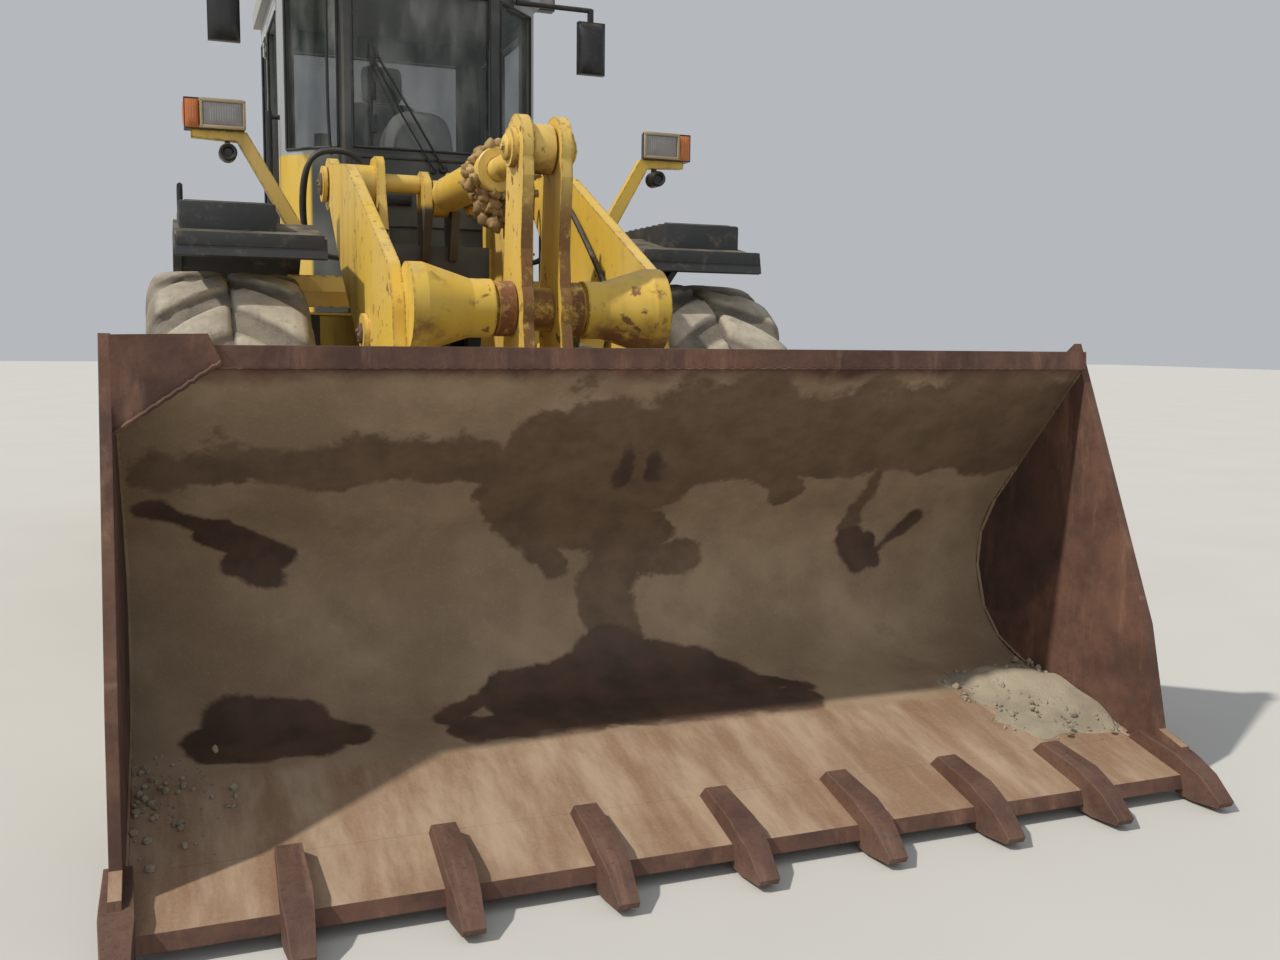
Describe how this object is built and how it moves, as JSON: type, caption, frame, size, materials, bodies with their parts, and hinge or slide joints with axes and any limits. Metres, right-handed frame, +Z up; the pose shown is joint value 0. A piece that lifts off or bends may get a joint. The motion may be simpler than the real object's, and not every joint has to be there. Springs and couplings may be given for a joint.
{
  "type": "wheel loader",
  "caption": "Articulated four-wheel loader with a toothed bucket on Z-bar lift arms, glazed cab, engine hood with opening doors and lugged tyres.",
  "frame": {"origin": "on the ground, under the middle of the machine's length and width", "axes": "+Z up, -Y ahead towards the bucket, +X the driver's left hand"},
  "size_m": [3.213, 8.8, 3.555],
  "materials": {
    "yellow": "worn satin yellow paint with rust",
    "fender": "dusty dark grey paint",
    "tyre": "matt rubber with dried mud",
    "rim": "dusty yellow paint",
    "lamp": "black housing with clear lenses",
    "chrome": "polished rod",
    "bucket": "rusted and muddy steel",
    "edge": "scraped steel",
    "teeth": "dark worn cast steel",
    "dark": "oily dark grey paint",
    "black": "black enamel",
    "glass": "clear, dusty",
    "seat": "dark cloth",
    "console": "light grey moulded plastic",
    "grille": "dark grey paint"
  },
  "bodies": {
    "front_left_wheel": {"tyre_front_left": "tyre", "rim_front_left": "rim"},
    "front_right_wheel": {"tyre_front_right": "tyre", "rim_front_right": "rim"},
    "rear_left_wheel": {"tyre_rear_left": "tyre", "rim_rear_left": "rim"},
    "rear_right_wheel": {"tyre_rear_right": "tyre", "rim_rear_right": "rim"},
    "front_body": {"front_axle": "yellow", "front_frame": "yellow", "front_fenders": "fender", "lamp_arms": "yellow", "head_lamps": "lamp"},
    "rear_body": {"rear_axle": "yellow", "rear_frame": "dark", "counterweight": "yellow", "engine_block": "dark", "hood": "yellow", "exhaust_stacks": "dark", "rear_fenders": "fender", "side_tanks": "yellow", "steps_and_rails": "black", "cab_shell": "yellow", "cab_roof": "yellow", "cab_glass": "glass", "seat": "seat", "steering_column": "console", "mirrors": "black", "work_lamps": "lamp"},
    "boom_body": {"boom": "yellow"},
    "lever_body": {"lever": "yellow"},
    "link_body": {"bucket_link": "yellow"},
    "lift_barrel_left_body": {"lift_barrel_left": "yellow"},
    "lift_barrel_right_body": {"lift_barrel_right": "yellow"},
    "lift_rod_left_body": {"lift_rod_left": "chrome"},
    "lift_rod_right_body": {"lift_rod_right": "chrome"},
    "tilt_barrel_body": {"tilt_barrel": "yellow"},
    "tilt_rod_body": {"tilt_rod": "chrome"},
    "steer_barrel_left_body": {"steer_barrel_left": "yellow"},
    "steer_barrel_right_body": {"steer_barrel_right": "yellow"},
    "steer_rod_left_body": {"steer_rod_left": "chrome"},
    "steer_rod_right_body": {"steer_rod_right": "chrome"},
    "bucket_body": {"bucket_shell": "bucket", "cutting_edge": "edge", "bucket_teeth": "teeth"},
    "cab_door_left_body": {"cab_door_left": "yellow", "door_glass_left": "glass"},
    "cab_door_right_body": {"cab_door_right": "yellow", "door_glass_right": "glass"},
    "hood_door_left_body": {"hood_door_left": "yellow"},
    "hood_door_right_body": {"hood_door_right": "yellow"},
    "rear_grille_body": {"rear_grille": "grille"}
  },
  "joints": [
    {"name": "steer", "type": "hinge", "parent": "rear_body", "child": "front_body", "pos_m": [0, 0.681, 0.9], "axis": [0, 0, 1], "range_deg": [-37, 37]},
    {"name": "front_left_wheel_spin", "type": "hinge", "parent": "front_body", "child": "front_left_wheel", "pos_m": [1.15, -1.044, 0.86], "axis": [1, 0, 0], "continuous": true},
    {"name": "rear_left_wheel_spin", "type": "hinge", "parent": "rear_body", "child": "rear_left_wheel", "pos_m": [1.15, 2.406, 0.86], "axis": [1, 0, 0], "continuous": true},
    {"name": "front_right_wheel_spin", "type": "hinge", "parent": "front_body", "child": "front_right_wheel", "pos_m": [-1.15, -1.044, 0.86], "axis": [1, 0, 0], "continuous": true},
    {"name": "rear_right_wheel_spin", "type": "hinge", "parent": "rear_body", "child": "rear_right_wheel", "pos_m": [-1.15, 2.406, 0.86], "axis": [1, 0, 0], "continuous": true},
    {"name": "boom_lift", "type": "hinge", "parent": "front_body", "child": "boom_body", "pos_m": [0, -0.3, 2.23], "axis": [-1, 0, 0], "range_deg": [-2, 75]},
    {"name": "bucket_tilt", "type": "hinge", "parent": "boom_body", "child": "bucket_body", "pos_m": [0, -2.91, 0.4], "axis": [1, 0, 0], "range_deg": [-45, 122]},
    {"name": "lever_swing", "type": "hinge", "parent": "boom_body", "child": "lever_body", "pos_m": [0, -2.24, 1.545], "axis": [-1, 0, 0], "range_deg": [-3.9, 10.52]},
    {"name": "link_swing", "type": "hinge", "parent": "lever_body", "child": "link_body", "pos_m": [0, -2.54, 0.405], "axis": [-1, 0, 0], "range_deg": [-60.68, 22.49]},
    {"name": "lift_barrel_left_swing", "type": "hinge", "parent": "front_body", "child": "lift_barrel_left_body", "pos_m": [0.436, -0.2, 1.23], "axis": [-1, 0, 0], "range_deg": [-1.47, 51.26]},
    {"name": "lift_rod_left_slide", "type": "slide", "parent": "lift_barrel_left_body", "child": "lift_rod_left_body", "axis": [0, -0.9889, 0.1483], "range_m": [-0.0276, 0.9625]},
    {"name": "lift_barrel_right_swing", "type": "hinge", "parent": "front_body", "child": "lift_barrel_right_body", "pos_m": [-0.436, -0.2, 1.23], "axis": [-1, 0, 0], "range_deg": [-1.47, 51.26]},
    {"name": "lift_rod_right_slide", "type": "slide", "parent": "lift_barrel_right_body", "child": "lift_rod_right_body", "axis": [0, -0.9889, 0.1483], "range_m": [-0.0276, 0.9625]},
    {"name": "tilt_barrel_swing", "type": "hinge", "parent": "front_body", "child": "tilt_barrel_body", "pos_m": [0, -0.37, 2.175], "axis": [-1, 0, 0], "range_deg": [-2.15, 75.15]},
    {"name": "tilt_rod_slide", "type": "slide", "parent": "tilt_barrel_body", "child": "tilt_rod_body", "axis": [0, -1, 0.0026], "range_m": [-0.1164, 0.0431]},
    {"name": "steer_barrel_left_swing", "type": "hinge", "parent": "rear_body", "child": "steer_barrel_left_body", "pos_m": [0.315, 1.56, 0.9], "axis": [0, 0, 1], "range_deg": [-10.85, 10.85]},
    {"name": "steer_rod_left_slide", "type": "slide", "parent": "steer_barrel_left_body", "child": "steer_rod_left_body", "axis": [0.0689, -0.9976, 0], "range_m": [-0.2368, 0.2368]},
    {"name": "cab_door_left_hinge", "type": "hinge", "parent": "rear_body", "child": "cab_door_left_body", "pos_m": [0.774, 1.187, 2.4], "axis": [0, 0, 1], "range_deg": [0, 105]},
    {"name": "hood_door_left_hinge", "type": "hinge", "parent": "rear_body", "child": "hood_door_left_body", "pos_m": [0.734, 2.64, 2.237], "axis": [0, -1, 0], "range_deg": [0, 75]},
    {"name": "steer_barrel_right_swing", "type": "hinge", "parent": "rear_body", "child": "steer_barrel_right_body", "pos_m": [-0.315, 1.56, 0.9], "axis": [0, 0, 1], "range_deg": [-10.85, 10.85]},
    {"name": "steer_rod_right_slide", "type": "slide", "parent": "steer_barrel_right_body", "child": "steer_rod_right_body", "axis": [-0.0689, -0.9976, 0], "range_m": [-0.2368, 0.2368]},
    {"name": "cab_door_right_hinge", "type": "hinge", "parent": "rear_body", "child": "cab_door_right_body", "pos_m": [-0.774, 1.187, 2.4], "axis": [0, 0, -1], "range_deg": [0, 105]},
    {"name": "hood_door_right_hinge", "type": "hinge", "parent": "rear_body", "child": "hood_door_right_body", "pos_m": [-0.734, 2.64, 2.237], "axis": [0, 1, 0], "range_deg": [0, 75]},
    {"name": "rear_grille_hinge", "type": "hinge", "parent": "rear_body", "child": "rear_grille_body", "pos_m": [0.517, 3.994, 1.9], "axis": [0, 0, -1], "range_deg": [0, 110]}
  ],
  "couplings": [
    {"joint": "lever_swing", "follows": "bucket_tilt", "ratio": 0.086},
    {"joint": "link_swing", "follows": "bucket_tilt", "ratio": -0.496},
    {"joint": "lift_barrel_left_swing", "follows": "boom_lift", "ratio": 0.682},
    {"joint": "lift_rod_left_slide", "follows": "boom_lift", "m_per_rad": 0.7338},
    {"joint": "lift_barrel_right_swing", "follows": "boom_lift", "ratio": 0.682},
    {"joint": "lift_rod_right_slide", "follows": "boom_lift", "m_per_rad": 0.7338},
    {"joint": "tilt_barrel_swing", "follows": "boom_lift", "ratio": 1},
    {"joint": "tilt_rod_slide", "follows": "bucket_tilt", "m_per_rad": -0.0545},
    {"joint": "steer_barrel_left_swing", "follows": "steer", "ratio": 0.2921},
    {"joint": "steer_rod_left_slide", "follows": "steer", "m_per_rad": -0.3652},
    {"joint": "steer_barrel_right_swing", "follows": "steer", "ratio": 0.2921},
    {"joint": "steer_rod_right_slide", "follows": "steer", "m_per_rad": 0.3652}
  ]
}
